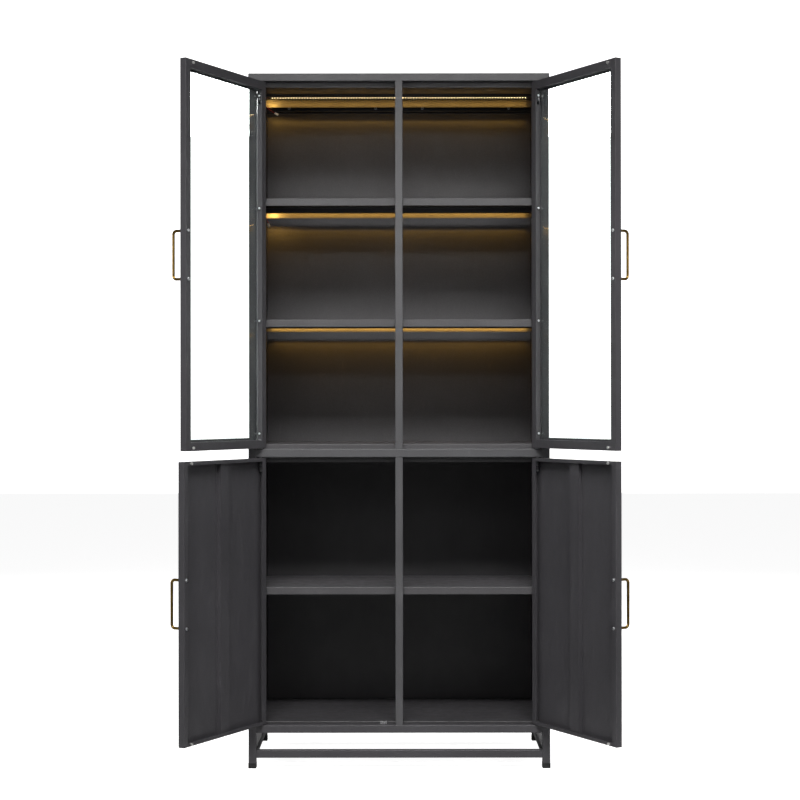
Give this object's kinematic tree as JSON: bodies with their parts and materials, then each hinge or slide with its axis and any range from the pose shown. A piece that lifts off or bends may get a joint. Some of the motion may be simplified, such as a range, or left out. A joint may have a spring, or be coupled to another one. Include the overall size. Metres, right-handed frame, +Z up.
{
  "type": "display cabinet",
  "caption": "Free-standing steel display cabinet with hinged glazed doors over sheet doors, lit shelves, tube legs and round pull handles.",
  "frame": {"origin": "on the floor at the centre of the cabinet footprint, doors not counted", "axes": "+Z up, the doors face -Y, +X to the right when facing the doors; doors modelled open at rest"},
  "size_m": [1.142, 0.7034, 1.845],
  "materials": {
    "cabinet_paint": "fine-texture charcoal powder coat",
    "door_paint": "fine-texture charcoal powder coat",
    "pane_glass": "clear float glass",
    "clip_plastic": "moulded black nylon",
    "handle_brass": "satin",
    "magnet_nickel": "bright nickel plate",
    "pivot_steel": "turned steel",
    "screw_zinc": "bright zinc plate",
    "keeper_steel": "plated",
    "foot_plastic": "moulded black polyethylene",
    "strip_plastic": "flexible light strip with clear resin",
    "lead_plastic": "PVC insulation",
    "plug_plastic": "moulded nylon"
  },
  "bodies": {
    "cabinet": {"back_panel_lower": "cabinet_paint", "back_panel_upper": "cabinet_paint", "base_stretcher_front": "cabinet_paint", "base_stretcher_left": "cabinet_paint", "base_stretcher_rear": "cabinet_paint", "base_stretcher_right": "cabinet_paint", "bottom_floor": "cabinet_paint", "ceiling_panel": "cabinet_paint", "centre_post": "cabinet_paint", "door_keeper": "keeper_steel", "door_stops": "cabinet_paint", "foot_caps": "foot_plastic", "front_bottom_rail": "cabinet_paint", "front_middle_rail": "cabinet_paint", "front_post_left": "cabinet_paint", "front_post_right": "cabinet_paint", "led_connector_shelf": "plug_plastic", "led_connector_top": "plug_plastic", "led_lead_shelf": "lead_plastic", "led_lead_top": "lead_plastic", "led_strip_top": "strip_plastic", "led_strips_shelves": "strip_plastic", "lower_shelf": "cabinet_paint", "middle_floor": "cabinet_paint", "panel_screws": "screw_zinc", "pivot_studs": "pivot_steel", "rear_post_left": "cabinet_paint", "rear_post_right": "cabinet_paint", "rear_top_rail": "cabinet_paint", "side_panel_left": "cabinet_paint", "side_panel_right": "cabinet_paint", "top_cap": "cabinet_paint", "upper_shelf_1": "cabinet_paint", "upper_shelf_2": "cabinet_paint"},
    "upper_door_left": {"upper_door_left_frame": "door_paint", "upper_door_left_glass": "pane_glass", "upper_door_left_glass_clips": "clip_plastic", "upper_door_left_handle": "handle_brass", "upper_door_left_magnets": "magnet_nickel", "upper_door_left_screws": "screw_zinc"},
    "upper_door_right": {"upper_door_right_frame": "door_paint", "upper_door_right_glass": "pane_glass", "upper_door_right_glass_clips": "clip_plastic", "upper_door_right_handle": "handle_brass", "upper_door_right_magnets": "magnet_nickel", "upper_door_right_screws": "screw_zinc"},
    "lower_door_left": {"lower_door_left_handle": "handle_brass", "lower_door_left_magnets": "magnet_nickel", "lower_door_left_panel": "door_paint", "lower_door_left_screws": "screw_zinc", "lower_door_left_stiffener": "door_paint"},
    "lower_door_right": {"lower_door_right_handle": "handle_brass", "lower_door_right_magnets": "magnet_nickel", "lower_door_right_panel": "door_paint", "lower_door_right_screws": "screw_zinc", "lower_door_right_stiffener": "door_paint"},
    "upper_pin_left": {"upper_door_left_spring_pin": "pivot_steel"},
    "upper_pin_right": {"upper_door_right_spring_pin": "pivot_steel"},
    "lower_pin_left": {"lower_door_left_spring_pin": "pivot_steel"},
    "lower_pin_right": {"lower_door_right_spring_pin": "pivot_steel"}
  },
  "joints": [
    {"name": "upper_door_left_hinge", "type": "hinge", "parent": "cabinet", "child": "upper_door_left", "pos_m": [-0.368, -0.1885, 0.849], "axis": [0, 0, 1], "range_deg": [-2, 118]},
    {"name": "upper_door_right_hinge", "type": "hinge", "parent": "cabinet", "child": "upper_door_right", "pos_m": [0.368, -0.1885, 0.849], "axis": [0, 0, -1], "range_deg": [0, 120]},
    {"name": "lower_door_left_hinge", "type": "hinge", "parent": "cabinet", "child": "lower_door_left", "pos_m": [-0.368, -0.1885, 0.116], "axis": [0, 0, 1], "range_deg": [-1, 119]},
    {"name": "lower_door_right_hinge", "type": "hinge", "parent": "cabinet", "child": "lower_door_right", "pos_m": [0.368, -0.1885, 0.116], "axis": [0, 0, -1], "range_deg": [0, 120]},
    {"name": "upper_pin_left_draw", "type": "slide", "parent": "upper_door_left", "child": "upper_pin_left", "axis": [0, 0, -1], "range_m": [0, 0.01], "stiffness_N_per_m": 150, "springref_m": -0.01},
    {"name": "upper_pin_right_draw", "type": "slide", "parent": "upper_door_right", "child": "upper_pin_right", "axis": [0, 0, -1], "range_m": [0, 0.01], "stiffness_N_per_m": 150, "springref_m": -0.01},
    {"name": "lower_pin_left_draw", "type": "slide", "parent": "lower_door_left", "child": "lower_pin_left", "axis": [0, 0, -1], "range_m": [0, 0.01], "stiffness_N_per_m": 150, "springref_m": -0.01},
    {"name": "lower_pin_right_draw", "type": "slide", "parent": "lower_door_right", "child": "lower_pin_right", "axis": [0, 0, -1], "range_m": [0, 0.01], "stiffness_N_per_m": 150, "springref_m": -0.01}
  ]
}
